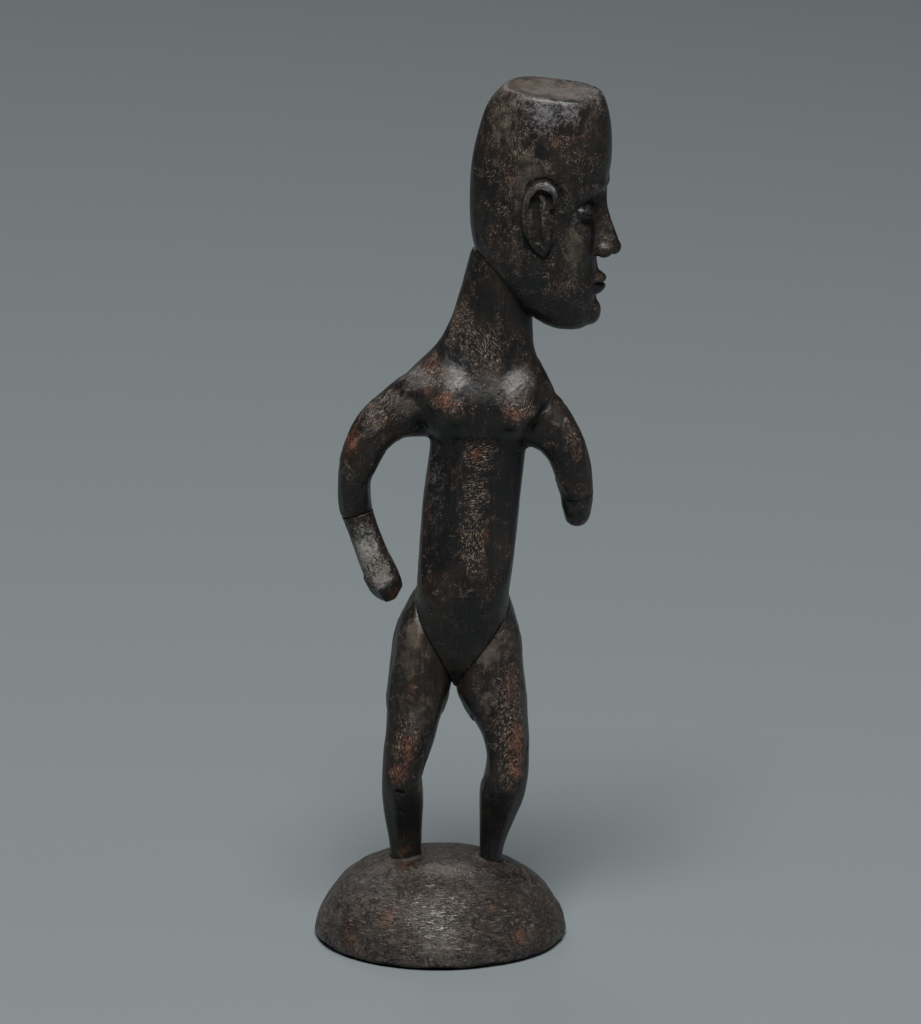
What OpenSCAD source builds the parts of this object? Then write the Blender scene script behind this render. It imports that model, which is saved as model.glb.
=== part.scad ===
// Carved wooden ancestor figure on a dome base, pegged together from separately carved pieces.
// Millimetres, +Z up, origin at the centre of the base's underside.
// The chest faces -Y. "right" and "left" are the figure's own.

/* [Base] */
// Radius of the dome at its foot
base_r = 79.5; // [74:0.5:84]
// Height of the dome
base_h = 54; // [50:0.5:58]
// Squareness of the dome's profile, 2 is an ellipse
base_fullness = 2.15; // [2:0.05:2.5]
// Rounding of the dome's bottom edge
base_edge_r = 1; // [0.5:0.5:4]

/* [Legs] */
// Height of the flat leg ends inside the dome
leg_end_z = 44; // [40:1:46]
// Diameter of the pegs that hold the ankles to the base
ankle_peg_d = 9; // [7:0.5:10]
// Length of the ankle pegs
ankle_peg_l = 44; // [36:1:48]

/* [Hips] */
// Diameter of the peg that crosses both thighs
hip_peg_d = 9; // [7:0.5:11]
// Height of the hip peg
hip_peg_z = 187; // [184:1:190]

/* [Neck] */
// Height of the joint between neck and head
neck_joint_z = 440; // [436:1:444]
// Diameter of the neck peg
neck_peg_d = 14; // [10:1:18]
// Length of the neck peg
neck_peg_l = 70; // [50:2:80]

/* [Head] */
// Turn of the head to the figure's left, in degrees
head_yaw = 82; // [76:1:88]
// Height of the top of the head
head_top_z = 539; // [536:1:542]
// Fall of the flat top towards the face, in degrees
top_fall = 7; // [4:1:10]
// Fall of the flat top towards the figure's right, in degrees
top_lean = 7; // [4:1:10]

/* [Wrists] */
// Diameter of the wrist pegs
wrist_peg_d = 6; // [5:0.5:7]
// Length of the wrist pegs
wrist_peg_l = 26; // [20:1:30]

/* [Fit] */
// Glue line between carved faces
glue_gap = 0.15; // [0.1:0.05:0.3]
// Radial glue line around a peg
peg_gap = 0.05; // [0.03:0.01:0.1]

/* [Hidden] */

patina = "#3b2b24";
base_wood = "#5a4a40";
worn_wood = "#5c4638";
peg_wood = "#a9825a";

round_fn = 64;      // circles of bores, pegs and the dome
ring_sides = 32;    // sides of a body, leg or head section
leg_sides = 28;     // sides of a leg section
arm_sides = 24;     // sides of an arm or hand section
peg_chamfer = 1;
bore_slack = 1;     // air at the end of a blind peg bore
far = 200;          // reach of a cutting block

// Peg axes
neck_peg_x = 38;
hip_peg_y = 3;
hip_peg_x0 = -21;
hip_peg_x1 = 44;
right_ankle = [-21.3, 1.2];
left_ankle = [31.8, 1];

// Level sections of the torso: [z, x low, x high, y front, y back]
torso_rows = [
    [160, -14.5, 42.6, -5, 14],
    [166, -14.5, 42.6, -9, 18],
    [174, -14.5, 42.6, -14, 23],
    [185, -14.5, 42.6, -20, 27],
    [197, -14.5, 42.6, -25.5, 28],
    [210, -14.4, 42.6, -30, 27],
    [222, -14.2, 42.8, -32, 25.5],
    [230, -13.8, 43.8, -31.5, 24.5],
    [245, -13.0, 45.9, -29, 23.5],
    [262, -11.8, 47.9, -27, 22.5],
    [280, -10.4, 49.6, -26, 22],
    [300, -8.0, 51.6, -25.5, 22],
    [316, -6.0, 53.2, -25, 22],
    [332, -5.0, 54.0, -22, 21]];

// Level sections of the neck and the slope of the shoulders
neck_rows = [
    [321, -3, 52, -21, 17],
    [327, -8, 57, -27.5, 19],
    [335, -14, 63, -30.5, 20.5],
    [344, -20, 68, -31, 21],
    [353, -24.5, 71, -28.5, 20.5],
    [363, -18.8, 65.6, -24.5, 20],
    [372, -9.5, 61.2, -22, 19.5],
    [381, -0.8, 58.6, -20.5, 19],
    [391, 5, 57.2, -20, 19.5],
    [402, 9.5, 57.5, -20, 20],
    [414, 13, 57, -20, 20],
    [426, 16.3, 56, -20, 20],
    [434, 18.6, 55, -19.5, 19.5],
    [440, 20.6, 54, -19, 19]];

// Level sections of the legs
right_leg_rows = [
    [223, -14.5, -8, 2, 14],
    [217, -18.5, -4, -8, 22],
    [210, -22.3, 0, -14, 26.5],
    [200, -26.6, 4, -19, 30],
    [186, -30, 7, -22, 31],
    [172, -31.6, 8, -23.5, 27.5],
    [159, -33, 6.6, -24.5, 22],
    [146, -33.8, 1.8, -25.5, 17.5],
    [133, -34.4, -2.2, -26.5, 13.5],
    [120, -35.5, -6.6, -27.5, 9.5],
    [108, -36.4, -10.8, -27.5, 6],
    [98, -36.5, -10.6, -25, 4.5],
    [88, -35.6, -10.3, -19.5, 6.5],
    [76, -34.2, -10.9, -13.5, 9.5],
    [64, -32.2, -11.6, -9.5, 11.5],
    [54, -31, -11.8, -8.8, 11.2],
    [49, -31, -11.8, -8.8, 11.2],
    [44, -31, -11.8, -8.8, 11.2]];

left_leg_rows = [
    [220, 36, 42.6, 2, 14],
    [214, 31, 44.8, -9, 22],
    [207, 27, 46.8, -14, 26.5],
    [198, 20, 49.4, -19, 30],
    [186, 14, 51.9, -22, 31],
    [172, 10.6, 53.4, -23.5, 27.5],
    [159, 10.4, 54.3, -24.5, 22],
    [146, 17.2, 55.1, -25.5, 17.5],
    [133, 25.2, 55.6, -26.5, 13.5],
    [120, 28.6, 55.7, -27.5, 9.5],
    [108, 27.2, 55.3, -27.5, 6],
    [98, 25.4, 54, -25, 4.5],
    [88, 25, 51.4, -19.5, 6.5],
    [76, 25, 47, -13.5, 9.5],
    [64, 25.1, 42.5, -9.5, 10.8],
    [54, 25.3, 39.5, -8.6, 10],
    [49, 25.3, 39.5, -8.6, 10],
    [44, 25.3, 39.5, -8.6, 10]];

// Front view of the tongue that the trunk ends in, between the thighs: [x, z]
waist = 222;
tongue = [[-14.3, waist], [-13.6, 213], [-10.4, 205], [-5.9, 196.5], [-1.5, 188], [2.7, 179], [9, 162],
          [10.2, 162], [15, 173], [22.5, 184], [28.3, 192.7], [34.2, 201], [39.8, 209], [42.4, 217], [42.6, waist]];

// Arm and hand centre lines: [x, y, z, half width in the front view, half depth]
right_arm_path = [
    [24, 1, 345, 22, 17],
    [0, 0, 343, 22, 16.5],
    [-18, -2, 340, 18.8, 15],
    [-32.5, -6, 333, 15.3, 13.5],
    [-43.4, -10.5, 321.5, 13.5, 12.3],
    [-49.6, -11, 307, 12, 11.4],
    [-52.2, -7.5, 295, 10.4, 10.8],
    [-52.5, -3.5, 283, 10, 10.2],
    [-51, 0, 273, 10, 9.8],
    [-46.5, -3, 261, 9.4, 9],
    [-41.8, -7, 248.5, 9.8, 8.4],
    [-36.6, -10.5, 236.5, 10.8, 8],
    [-32.8, -13, 227.5, 10.4, 7.2],
    [-31.2, -14, 222.5, 7.6, 5.2],
    [-30.6, -14.4, 219.8, 3, 2.4]];
right_wrist = 8;    // row of the wrist joint

left_arm_path = [
    [22, 1, 343, 22, 17],
    [44, 0, 339.5, 22, 16.5],
    [59, -1.5, 334, 20.3, 15.2],
    [70.5, -4.5, 325.5, 15.2, 13.6],
    [78.3, -6, 313.5, 13, 12.6],
    [82.3, -4, 300.5, 12, 12],
    [85, 0.5, 286, 10.4, 10.8],
    [85.3, 5, 276.5, 9.3, 9.7],
    [85.3, 9, 269.5, 8.1, 8.4],
    [85.3, 11, 265.6, 5.8, 6.2],
    [85.2, 12, 263.4, 2.6, 3]];
left_wrist = 6;

// Level sections of the skull in its own frame, which faces -Y: [z, x low, x high, y front, y back]
skull_rows = [
    [391, -9, 9, -36, -20],
    [394, -14, 14, -40.5, -12],
    [401, -19.5, 19.5, -43.5, -2],
    [411, -24, 24, -44.5, 8.5],
    [422, -27.5, 27.5, -44.5, 18],
    [433, -29.6, 29.6, -44, 26.5],
    [446, -31, 31, -44, 31.4],
    [460, -31.8, 31.8, -44.5, 33],
    [471, -32, 32, -46, 33.2],
    [480, -32, 32, -50, 33],
    [492, -32, 32, -53, 32.4],
    [506, -31.5, 31.5, -53.5, 30.8],
    [519, -30.2, 30.2, -52.5, 27.5],
    [530, -28, 28, -50, 22.5],
    [539, -24.5, 24.5, -46, 15],
    [546, -19, 19, -41, 6]];
head_x = 52;        // axis that the head is turned about

// A smooth curve through the rows at the place t, which is a row number and a part of the next
function between(rows, t) =
    let (last = len(rows) - 1, i = min(max(floor(t), 0), last - 1), u = t - i,
         a = rows[max(i - 1, 0)], b = rows[i], c = rows[i + 1], d = rows[min(i + 2, last)])
    ((2 * b) + (c - a) * u + (2 * a - 5 * b + 4 * c - d) * u * u + (3 * b - a - 3 * c + d) * u * u * u) / 2;

// One coordinate of a rounded square's edge; power 2 is a circle
function squared(s, power) = sign(s) * pow(abs(s), 2 / power);

// A level section as a ring of points, grown outward by grow
function level_ring(row, power, grow, sides) =
    let (cx = (row[1] + row[2]) / 2, cy = (row[3] + row[4]) / 2,
         rx = (row[2] - row[1]) / 2 + grow, ry = (row[4] - row[3]) / 2 + grow)
    [for (i = [0 : sides - 1]) let (a = 360 * i / sides)
        [cx + rx * squared(cos(a), power), cy + ry * squared(sin(a), power), row[0]]];

// A section square to a limb's centre line
function limb_ring(path, t, sides) =
    let (p = between(path, t), e = 0.05,
         q = between(path, min(t + e, len(path) - 1)), o = between(path, max(t - e, 0)),
         along = unit([q[0] - o[0], q[1] - o[1], q[2] - o[2]]),
         depth = unit([0, 1, 0] - along[1] * along), wide = cross(along, depth))
    [for (i = [0 : sides - 1]) let (a = 360 * i / sides)
        [p[0], p[1], p[2]] + wide * p[3] * squared(cos(a), 2.2) + depth * p[4] * squared(sin(a), 2.2)];

function unit(v) = v / norm(v);
function reversed(v) = [for (i = [len(v) - 1 : -1 : 0]) v[i]];

// Skins a stack of rings that have the same number of points, and closes both ends
module skin(rings) {
    n = len(rings[0]);
    last = len(rings) - 1;
    side_faces = [for (k = [0 : last - 1], i = [0 : n - 1], half = [0, 1])
        let (j = (i + 1) % n)
        half == 0 ? [k * n + i, k * n + j, (k + 1) * n + j] : [k * n + i, (k + 1) * n + j, (k + 1) * n + i]];
    ends = [reversed([for (i = [0 : n - 1]) i]), [for (i = [0 : n - 1]) last * n + i]];
    points = [for (r = rings) each r];
    polyhedron(points, [for (f = concat(side_faces, ends)) reversed(f)], convexity = 6);
}

// A body made of level sections, drawn from the lowest row up
module level_body(rows, power = 2.4, grow = 0, steps = 2, sides = ring_sides) {
    up = rows[0][0] < rows[1][0] ? rows : reversed(rows);
    skin([for (k = [0 : (len(up) - 1) * steps]) level_ring(between(up, k / steps), power, grow, sides)]);
}

// A stretch of a limb, from one row of its path to another
module limb(path, from, to, steps = 2) {
    skin([for (k = [(to - from) * steps : -1 : 0]) limb_ring(path, from + k / steps, arm_sides)]);
}

// Resizing a shape to its own size merges its pieces into one mesh before any bore is cut
module merged() {
    resize([0, 0, 0]) union() children();
}

// A peg with eased ends, centred on its middle along Z
module peg(d, l) {
    half = l / 2;
    rotate_extrude($fn = round_fn)
        polygon([[0, -half], [d / 2 - peg_chamfer, -half], [d / 2, peg_chamfer - half],
                 [d / 2, half - peg_chamfer], [d / 2 - peg_chamfer, half], [0, half]]);
}

// The hole for a peg, longer than the peg at both ends
module peg_bore(d, l) {
    cylinder(d = d + 2 * peg_gap, h = l + 2 * bore_slack, center = true, $fn = round_fn);
}

module at_neck() {
    translate([neck_peg_x, 0, neck_joint_z]) children();
}

module at_hip() {
    translate([(hip_peg_x0 + hip_peg_x1) / 2, hip_peg_y, hip_peg_z]) rotate([0, 90, 0]) children();
}

module at_ankle(spot) {
    translate([spot[0], spot[1], leg_end_z]) children();
}

// Places a peg across a wrist joint, along the limb's centre line there
module at_wrist(path, row) {
    p = path[row];
    ring = limb_ring(path, row, arm_sides);
    normal = unit(cross(ring[0] - ring[arm_sides / 2], ring[arm_sides / 4] - ring[3 * arm_sides / 4]));
    turn = acos(normal[2]);
    translate([p[0], p[1], p[2]]) rotate(turn, cross([0, 0, 1], normal)) children();
}

// The wedge-shaped block between the thighs that the trunk's tongue is cut to
module tongue_block(grow = 0) {
    translate([0, far / 2, 0]) rotate([90, 0, 0]) linear_extrude(far) offset(delta = grow) polygon(tongue);
}

module above_waist() {
    translate([-far / 2, -far / 2, waist - 0.01]) cube(far);
}

module torso_blank(grow = 0) {
    level_body(torso_rows, 2.4, grow);
}

module leg_blank(rows) {
    level_body(rows, 2.3, 0, 2, leg_sides);
}

// The torso, with the tongue below it that carries the inner face of both thighs
module torso() {
    intersection() {
        torso_blank();
        above_waist();
    }
    intersection() {
        union() {
            torso_blank();
            leg_blank(right_leg_rows);
            leg_blank(left_leg_rows);
        }
        tongue_block();
    }
}

module neck(grow = 0) {
    level_body(neck_rows, 2.2, grow);
}

// A breast that leans out as it comes down, with its tip at the bottom
module breast(x, z) {
    translate([x, -15.5, z]) rotate([-34, 0, 0]) scale([17.5, 12, 27]) sphere(1, $fn = 28);
}

module arm_bore(path, row) {
    at_wrist(path, row) peg_bore(wrist_peg_d, wrist_peg_l);
}

module trunk() {
    color(patina) difference() {
        merged() {
            torso();
            neck();
            breast(9, 357);
            breast(46, 354);
            limb(right_arm_path, 0, right_wrist);
            limb(left_arm_path, 0, left_wrist);
        }
        at_neck() peg_bore(neck_peg_d, neck_peg_l);
        at_hip() peg_bore(hip_peg_d, hip_peg_x1 - hip_peg_x0);
        arm_bore(right_arm_path, right_wrist);
        arm_bore(left_arm_path, left_wrist);
    }
}

module leg(rows, ankle) {
    color(patina) difference() {
        merged() difference() {
            leg_blank(rows);
            tongue_block(glue_gap);
            intersection() {
                torso_blank(glue_gap);
                above_waist();
            }
        }
        at_hip() peg_bore(hip_peg_d, hip_peg_x1 - hip_peg_x0);
        at_ankle(ankle) peg_bore(ankle_peg_d, ankle_peg_l);
    }
}

module right_leg() {
    leg(right_leg_rows, right_ankle);
}

module left_leg() {
    leg(left_leg_rows, left_ankle);
}

// The pocket that a leg's end is let into
module leg_pocket(rows) {
    row = rows[len(rows) - 1];
    foot = level_ring(row, 2.3, glue_gap, leg_sides);
    translate([0, 0, leg_end_z - glue_gap]) linear_extrude(base_h) polygon([for (p = foot) [p[0], p[1]]]);
}

module base_dome() {
    steps = 16;
    profile = [for (i = [0 : steps]) let (a = 90 * i / steps)
        [base_r * pow(cos(a), 2 / base_fullness),
         base_edge_r + (base_h - base_edge_r) * pow(sin(a), 2 / base_fullness)]];
    color(base_wood) difference() {
        rotate_extrude($fn = round_fn)
            polygon(concat([[0, 0], [base_r - base_edge_r, 0]], profile));
        leg_pocket(right_leg_rows);
        leg_pocket(left_leg_rows);
        at_ankle(right_ankle) peg_bore(ankle_peg_d, ankle_peg_l);
        at_ankle(left_ankle) peg_bore(ankle_peg_d, ankle_peg_l);
    }
}

module hand(path, from) {
    difference() {
        translate(-glue_gap * [0, 0, 1]) limb(path, from, len(path) - 1);
        arm_bore(path, from);
    }
}

module right_hand() {
    color(worn_wood) hand(right_arm_path, right_wrist);
}

module left_hand() {
    color(patina) hand(left_arm_path, left_wrist);
}

// Nose as a wedge from the brow to its base
module nose() {
    level_body([[437, -8, 8, -50, -36], [440, -9.5, 9.5, -58, -36], [446, -8.5, 8.5, -58.5, -36],
                [456, -6, 6, -55, -36], [468, -4.8, 4.8, -52, -38], [480, -5.5, 5.5, -51, -40]], 2, 0, 2, 20);
}

// A long ear in relief
module ear(side) {
    translate([side * 31, -14, 464]) rotate([-4, 0, 0]) scale([5.5, 9.5, 22]) sphere(1, $fn = 24);
}

module lips() {
    for (row = [[422.5, 11, 6, 3.2], [417, 9.5, 5.5, 3]])
        translate([0, -43.5, row[0]]) scale([row[1], row[2], row[3]]) sphere(1, $fn = 24);
}

module eye(side) {
    translate([side * 14.5, -41, 466]) scale([8.5, 5, 4.5]) sphere(1, $fn = 24);
}

module chin() {
    translate([0, -41, 401.5]) scale([11, 6.5, 8.5]) sphere(1, $fn = 24);
}

module skull_blank() {
    difference() {
        level_body(skull_rows, 2.6);
        translate([0, -20, head_top_z]) rotate([top_fall, 0, 0]) rotate([0, -top_lean, 0])
            translate([-far / 2, -far / 2, 0]) cube(far);
    }
}

module head() {
    color(patina) difference() {
        merged() difference() {
            translate([head_x, 0, 0]) rotate([0, 0, head_yaw]) {
                skull_blank();
                nose();
                lips();
                chin();
                for (side = [-1, 1]) {
                    eye(side);
                    ear(side);
                }
            }
            neck(glue_gap);
        }
        at_neck() peg_bore(neck_peg_d, neck_peg_l);
    }
}

module neck_peg() {
    color(peg_wood) at_neck() peg(neck_peg_d, neck_peg_l);
}

module hip_peg() {
    color(peg_wood) at_hip() peg(hip_peg_d, hip_peg_x1 - hip_peg_x0);
}

module right_ankle_peg() {
    color(peg_wood) at_ankle(right_ankle) peg(ankle_peg_d, ankle_peg_l);
}

module left_ankle_peg() {
    color(peg_wood) at_ankle(left_ankle) peg(ankle_peg_d, ankle_peg_l);
}

module right_wrist_peg() {
    color(peg_wood) at_wrist(right_arm_path, right_wrist) peg(wrist_peg_d, wrist_peg_l);
}

module left_wrist_peg() {
    color(peg_wood) at_wrist(left_arm_path, left_wrist) peg(wrist_peg_d, wrist_peg_l);
}

base_dome();
right_leg();
left_leg();
trunk();
head();
right_hand();
left_hand();
neck_peg();
hip_peg();
right_ankle_peg();
left_ankle_peg();
right_wrist_peg();
left_wrist_peg();
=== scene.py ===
"""A carved wooden ancestor figure on a domed base: sculpted surfaces, patina, light and camera."""
import math

import bpy
import numpy as np
from mathutils import Matrix, Vector
from mathutils.bvhtree import BVHTree
from mathutils.kdtree import KDTree


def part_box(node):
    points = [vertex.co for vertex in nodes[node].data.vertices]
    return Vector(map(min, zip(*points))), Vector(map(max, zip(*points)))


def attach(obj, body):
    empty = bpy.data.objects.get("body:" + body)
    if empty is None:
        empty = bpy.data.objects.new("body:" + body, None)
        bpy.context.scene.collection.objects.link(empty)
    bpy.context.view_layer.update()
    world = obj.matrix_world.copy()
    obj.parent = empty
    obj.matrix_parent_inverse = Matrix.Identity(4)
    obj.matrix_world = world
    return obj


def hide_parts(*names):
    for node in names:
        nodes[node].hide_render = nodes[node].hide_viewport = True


MM = 0.001
VOXEL = 0.94 * MM
HEAD_VOXEL = 0.76 * MM
HAND_VOXEL = 0.7 * MM
HEAD_AXIS = Vector((52 * MM, 0, 0))
HEAD_YAW = math.radians(82)

# The courses that rasp marks take, seen from the front
RASPS = {
    "rasp_up": (0.15, 0, 1),
    "rasp_across": (1, 0, 0.12),
    "rasp_rise": (0.6, 0, 0.8),
    "rasp_fall": (-0.5, 0, 0.85),
}

# A rasp mark's spacing, half length, half width and depth in mm
RASP_TOOL = (2.6, 4.5, 1.2, 0.2)

# The masks painted on each carved piece: wear, a waxy grey with painted sheen and highlights, ochre dust with
# painted sheen, skin free of tool marks, and the rasp courses
MASKS = ("wear", "wax", "ochre", "calm", *RASPS)

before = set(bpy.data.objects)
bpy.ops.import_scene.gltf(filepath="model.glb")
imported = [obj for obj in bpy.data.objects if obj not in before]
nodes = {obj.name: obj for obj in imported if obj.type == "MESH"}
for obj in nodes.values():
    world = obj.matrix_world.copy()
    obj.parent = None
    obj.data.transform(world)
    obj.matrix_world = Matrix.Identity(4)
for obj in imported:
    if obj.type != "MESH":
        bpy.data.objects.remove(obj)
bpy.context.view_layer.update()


# ---- meshes as arrays ----

def mesh_object(name, points, faces):
    mesh = bpy.data.meshes.new(name)
    mesh.from_pydata([tuple(p) for p in points], [], faces)
    mesh.update()
    piece = bpy.data.objects.new(name, mesh)
    bpy.context.scene.collection.objects.link(piece)
    return piece


def get_points(piece):
    flat = np.empty(len(piece.data.vertices) * 3)
    piece.data.vertices.foreach_get("co", flat)
    return flat.reshape(-1, 3)


def set_points(piece, points):
    piece.data.vertices.foreach_set("co", points.ravel())
    piece.data.update()


def get_normals(piece):
    flat = np.empty(len(piece.data.vertices) * 3)
    piece.data.vertex_normals.foreach_get("vector", flat)
    return flat.reshape(-1, 3)


def get_edges(piece):
    flat = np.empty(len(piece.data.edges) * 2, dtype=np.int64)
    piece.data.edges.foreach_get("vertices", flat)
    return flat.reshape(-1, 2)


def paint(piece, name, values):
    """Stores one number per point, which the materials read."""
    layer = piece.data.attributes.new(name, "FLOAT", "POINT")
    layer.data.foreach_set("value", np.ascontiguousarray(values, dtype=np.float32))


def smoothstep(low, high, values):
    t = np.clip((values - low) / (high - low), 0, 1)
    return t * t * (3 - 2 * t)


def bell(values, middle, reach):
    return np.exp(-((values - middle) / reach) ** 2)


def relaxed(points, edges, rounds, weight=1.0, rate=0.5):
    """Points moved towards the middle of their neighbours."""
    count = len(points)
    a, b = edges.T
    valence = np.maximum(1, np.bincount(edges.ravel(), minlength=count))[:, None]
    weight = np.broadcast_to(np.asarray(weight, dtype=float), (count,))[:, None]
    for _ in range(rounds):
        total = np.stack([np.bincount(a, points[b, k], count) + np.bincount(b, points[a, k], count)
                          for k in range(3)], axis=1)
        points = points + rate * weight * (total / valence - points)
    return points


def part_of(edges, chosen):
    """The edges between chosen points, numbered within them."""
    number = np.cumsum(chosen) - 1
    return number[edges[chosen[edges].all(axis=1)]]


def filled(piece, rounds, weight):
    """Fills creases between swellings, and leaves what stands proud as it is."""
    points, normals = get_points(piece), get_normals(piece)
    weight = np.broadcast_to(weight, len(points))
    chosen = weight > 0.01
    edges, soft = part_of(get_edges(piece), chosen), points[chosen]
    for _ in range(rounds):
        soft = relaxed(soft, edges, 1, weight[chosen], 0.63)
        soft = relaxed(soft, edges, 1, weight[chosen], -0.637)
    rise = np.maximum(0, np.einsum("ij,ij->i", soft - points[chosen], normals[chosen]))
    points[chosen] += normals[chosen] * rise[:, None]
    set_points(piece, points)


def lattice(cells, seed):
    """A repeatable random number from 0 to 1 for each whole-number cell."""
    x, y, z = cells[..., 0], cells[..., 1], cells[..., 2]
    h = (x * 374761393 + y * 668265263 + z * 2147483647 + seed * 974634777) & 0xFFFFFFFF
    h = ((h ^ (h >> 13)) * 1274126177) & 0xFFFFFFFF
    return ((h ^ (h >> 16)) & 0xFFFFFF) / float(0xFFFFFF)


def noise(points, size, seed):
    """Smooth noise from -1 to 1 with lumps of that size."""
    q = points / size + 100.0
    cell = np.floor(q).astype(np.int64)
    f = q - cell
    f = f * f * (3 - 2 * f)
    total = 0.0
    for corner in np.ndindex(2, 2, 2):
        c = np.array(corner)
        share = np.prod(np.where(c, f, 1 - f), axis=1)
        total = total + share * lattice(cell + c, seed)
    return 2 * total - 1


# ---- closed shapes to add ----

def through(path, at):
    """Points on the smooth curve through path, at whole and part point numbers."""
    path = np.array(path, dtype=float)
    last = len(path) - 1
    i = np.clip(np.floor(at).astype(int), 0, last - 1)
    u = (at - i)[:, None]
    a, b, c, d = (path[np.clip(i + k, 0, last)] for k in (-1, 0, 1, 2))
    return (2 * b + (c - a) * u + (2 * a - 5 * b + 4 * c - d) * u ** 2 + (3 * b - a - 3 * c + d) * u ** 3) / 2


def tube(path, radii, sides=12):
    """A closed tube along the smooth curve through path, with a radius at each of its points."""
    at = np.linspace(0, len(path) - 1, 6 * (len(path) - 1) + 1)
    curve, thick = through(path, at), np.interp(at, np.arange(len(path)), radii)
    along = np.gradient(curve, axis=0)
    along /= np.linalg.norm(along, axis=1)[:, None]
    side = np.cross(along, np.array([0.0, 1.0, 0.001]))
    side /= np.linalg.norm(side, axis=1)[:, None]
    other = np.cross(side, along)
    points = [curve[k] + thick[k] * (math.cos(a) * side[k] + math.sin(a) * other[k])
              for k in range(len(curve)) for a in np.arange(sides) * 2 * math.pi / sides]
    faces = [(k * sides + i, k * sides + (i + 1) % sides,
              (k + 1) * sides + (i + 1) % sides, (k + 1) * sides + i)
             for k in range(len(curve) - 1) for i in range(sides)]
    last = (len(curve) - 1) * sides
    faces += [tuple(range(sides))[::-1], tuple(range(last, last + sides))]
    return np.array(points), faces


def ball(centre, radii, rings=12):
    """A closed ellipsoid."""
    sides = 2 * rings
    points = [(0, 0, 1)]
    for k in range(1, rings):
        v = math.pi * k / rings
        points += [(math.sin(v) * math.cos(math.pi * i / rings), math.sin(v) * math.sin(math.pi * i / rings),
                    math.cos(v)) for i in range(sides)]
    points.append((0, 0, -1))
    faces = [(1 + (i + 1) % sides, 0, 1 + i) for i in range(sides)]
    for k in range(rings - 2):
        a, b = 1 + k * sides, 1 + (k + 1) * sides
        faces += [(a + (i + 1) % sides, a + i, b + i, b + (i + 1) % sides) for i in range(sides)]
    a, end = 1 + (rings - 2) * sides, len(points) - 1
    faces += [(a + (i + 1) % sides, a + i, end) for i in range(sides)]
    return np.array(points) * np.array(radii) + np.array(centre), faces


def blank(name, node, extras=(), voxel=VOXEL, start_from=None):
    """A new piece in one skin: the node's CAD shape, or another mesh, merged with closed extra shapes."""
    source = start_from or nodes[node].data
    points = [tuple(v.co) for v in source.vertices]
    faces = [tuple(p.vertices) for p in source.polygons]
    for extra_points, extra_faces in extras:
        start = len(points)
        points += [tuple(p) for p in extra_points]
        faces += [tuple(i + start for i in f) for f in extra_faces]
    piece = mesh_object(name, points, faces)
    remesh = piece.modifiers.new("one_skin", "REMESH")
    remesh.mode = "VOXEL"
    remesh.voxel_size = voxel
    evaluated = piece.evaluated_get(bpy.context.evaluated_depsgraph_get())
    mesh = bpy.data.meshes.new_from_object(evaluated)
    piece.modifiers.clear()
    rough = piece.data
    piece.data = mesh
    mesh.name = name
    bpy.data.meshes.remove(rough)
    mesh.polygons.foreach_set("use_smooth", np.ones(len(mesh.polygons), dtype=bool))
    return piece


# ---- carving ----

def joint_distance(points, node, reach=6 * MM):
    """How far each point is from the next CAD piece, up to reach, so that joints stay flush."""
    distance = np.full(len(points), reach)
    low, high = points.min(axis=0) - reach, points.max(axis=0) + reach
    for other, cad in nodes.items():
        if other == node or other.endswith("_peg"):
            continue
        other_low, other_high = (np.array(c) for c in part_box(other))
        if (other_low > high).any() or (other_high < low).any():
            continue
        tree = BVHTree.FromPolygons([v.co for v in cad.data.vertices],
                                    [p.vertices for p in cad.data.polygons])
        close = ((points > other_low - reach) & (points < other_high + reach)).all(axis=1)
        for i in np.nonzero(close)[0]:
            hit = tree.find_nearest(points[i], reach)
            if hit[0] is not None:
                distance[i] = min(distance[i], hit[3])
    return distance


def scattered(points, spacing, rng):
    """Point numbers about one spacing apart."""
    cells = {}
    keys = np.floor((points + rng.random(3) * spacing) / spacing).astype(int)
    for i in rng.permutation(len(points)):
        cells.setdefault(tuple(keys[i]), i)
    return np.array(sorted(cells.values()))


def tree_of(points):
    tree = KDTree(len(points))
    for i, p in enumerate(points):
        tree.insert(p, i)
    tree.balance()
    return tree


def strokes(points, normals, tool, direction, rng, spread=0.35, field=None):
    """The depth that overlapping tool strokes cut at each point.

    tool is (spacing, half length, half width, depth), direction gives a stroke's course, and field is where
    they go."""
    spacing, length, width, depth = tool
    tree = tree_of(points)
    cut = np.zeros(len(points))
    for i in scattered(points, spacing, rng):
        course = direction(points[i]) + rng.normal(0, spread, 3)
        size, broad = rng.uniform(0.7, 1.3), rng.uniform(0.75, 1.25)
        if field is not None and field[i] < 0.3:
            continue
        n = normals[i]
        course = course - n * (course @ n)
        course /= max(np.linalg.norm(course), 1e-9)
        across = np.cross(n, course)
        near = np.array([hit[1] for hit in tree.find_range(points[i], length * size)])
        delta = points[near] - points[i]
        u, w = delta @ course / (length * size), delta @ across / (width * broad)
        share = np.sqrt(np.maximum(0, 1 - u * u - w * w))
        facing = normals[near] @ n > 0.5
        cut[near] = np.maximum(cut[near], np.where(facing, depth * size * share, 0))
    return cut


def along_z(_point):
    return np.array([0, 0, 1.0])


def swirl(point):
    """Round the dome in a rising curve."""
    around = np.array([-point[1], point[0], 0.0])
    return around / max(np.linalg.norm(around), 1e-9) + np.array([0, 0, 0.35])


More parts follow.
